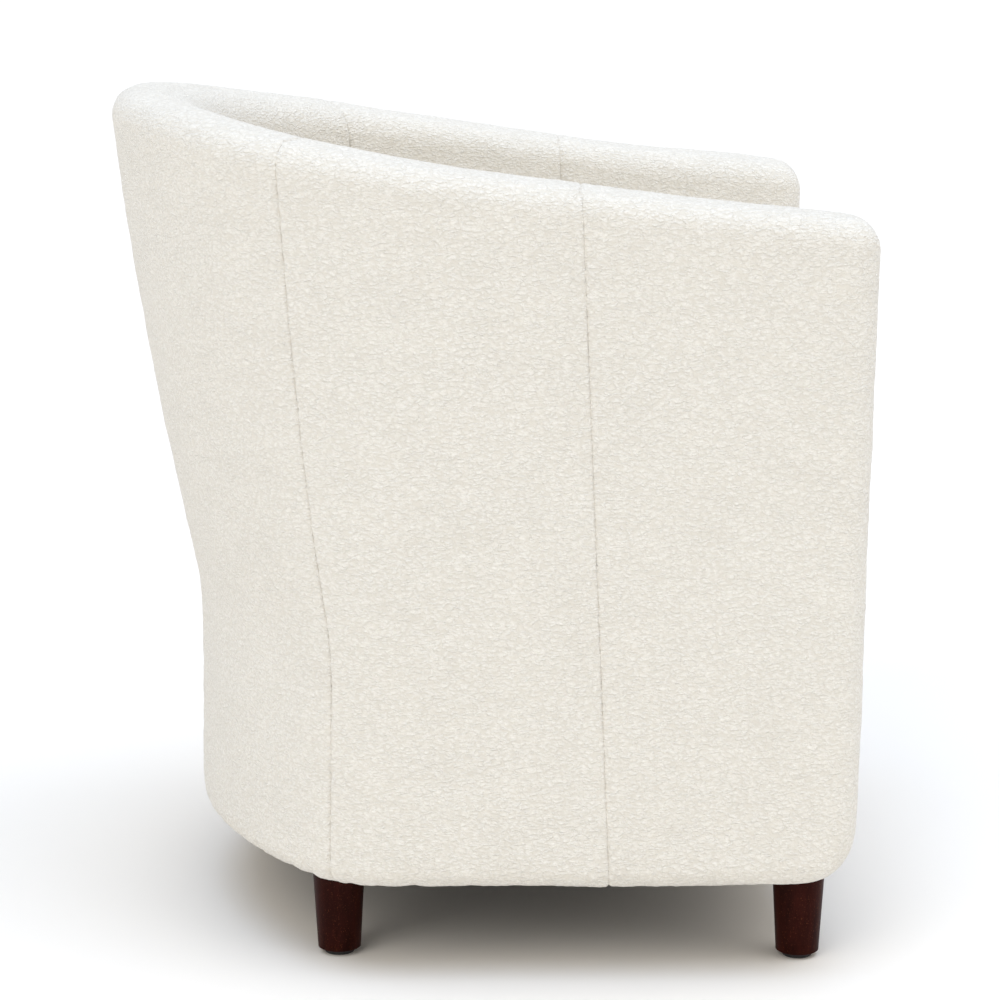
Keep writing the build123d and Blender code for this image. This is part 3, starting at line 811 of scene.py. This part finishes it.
# Apron: a padded panel whose two side edges turn in
low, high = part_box("apron_cover")
wide = high[0] - low[0]
even_columns = np.linspace(APRON_RIGHT_MARGIN, wide - APRON_LEFT_MARGIN, APRON_COLUMNS)
widths = np.concatenate([APRON_EDGE_COLUMNS, even_columns, wide - APRON_EDGE_COLUMNS[::-1]])
apron_rows = []
for back_in, up in apron_profile(high[1] - low[1], high[2] - low[2]):
    apron_rows.append([(low[0] + width, low[1] + back_in, low[2] + up) for width in widths])
apron = np.array(apron_rows)
edge = np.minimum(widths, wide - widths)[None, :] + np.zeros(apron.shape[:2])
edge_drop = APRON_EDGE_DROP * np.clip(1 - edge / APRON_EDGE_REACH, 0, 1) ** 2
push = wrinkles(apron, APRON_SEED) - edge_drop - APRON_INSET
apron_points = apron + grid_normals(apron) * push[..., None]
apron_obj = link("apron_front", apron_points.reshape(-1, 3), grid_faces(*apron.shape[:2]), CREAM)
add_nubs(apron_obj)
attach(apron_obj, "chair")
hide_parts("apron_cover", "apron_foam")

# Seat deck: cloth, foam and felt as one pad, its top a little under the CAD cloth's
low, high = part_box("deck_cloth")
deck_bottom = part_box("deck_foam")[0][2]
deck_thick = high[2] - deck_bottom - DECK_CLEARANCE
deck = flat_sheet("seat_deck", high[0], low[1], high[1], DECK_CORNER, deck_bottom, deck_thick, DECK_SEED)
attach(deck, "chair")
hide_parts("deck_cloth", "deck_foam", "spring_felt")

# Dust cover under the base board
low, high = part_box("dust_cover")
dust_corner = CORNER_AT_HEM - DUST_CORNER_INSET
dust_thick = high[2] - low[2]
dust = flat_sheet("dust_cover_cloth", high[0], low[1], high[1], dust_corner, low[2], dust_thick, DUST_SEED)
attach(dust, "chair")
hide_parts("dust_cover")


# Floor, light and camera


def sun(name, direction, strength, angle, colour):
    """Soft lamp shining along a direction; its angle in degrees softens the shadows."""
    light = bpy.data.lights.new(name, "SUN")
    light.energy = strength
    light.angle = math.radians(angle)
    light.color = colour
    obj = bpy.data.objects.new(name, light)
    obj.rotation_euler = Vector(direction).to_track_quat("-Z", "Y").to_euler()
    bpy.context.scene.collection.objects.link(obj)


floor_corners = [(FLOOR_HALF * x, FLOOR_HALF * y, 0) for x, y in ((-1, -1), (1, -1), (1, 1), (-1, 1))]
floor = link("floor", floor_corners, [(0, 1, 2, 3)], floor_material())

world = bpy.data.worlds.new("studio")
bpy.context.scene.world = world
world.use_nodes = True
background = world.node_tree.nodes["Background"]
background.inputs["Color"].default_value = WORLD_COLOUR
background.inputs["Strength"].default_value = WORLD_STRENGTH

sun("key", direction=(0.70, -0.50, -0.60), strength=0.88, angle=40, colour=(1.0, 0.98, 0.94))
sun("fill", direction=(0.20, 0.76, -0.62), strength=0.72, angle=60, colour=(1.0, 0.98, 0.96))
sun("top", direction=(0.05, 0.0, -1.0), strength=1.88, angle=60, colour=(0.57, 0.73, 1.0))

camera_data = bpy.data.cameras.new("camera")
camera_data.sensor_width = CAMERA_SENSOR_MM
camera_data.lens = CAMERA_LENS_MM
camera_data.clip_end = CAMERA_FAR
camera = bpy.data.objects.new("camera", camera_data)
level_reach = math.cos(CAMERA_PITCH)
look_x, look_y = math.cos(CAMERA_YAW) * level_reach, -math.sin(CAMERA_YAW) * level_reach
look = Vector((look_x, look_y, -math.sin(CAMERA_PITCH)))
camera.location = CAMERA_PLACE
camera.rotation_euler = look.to_track_quat("-Z", "Y").to_euler()
bpy.context.scene.collection.objects.link(camera)
bpy.context.scene.camera = camera
bpy.context.scene.view_settings.view_transform = "Standard"
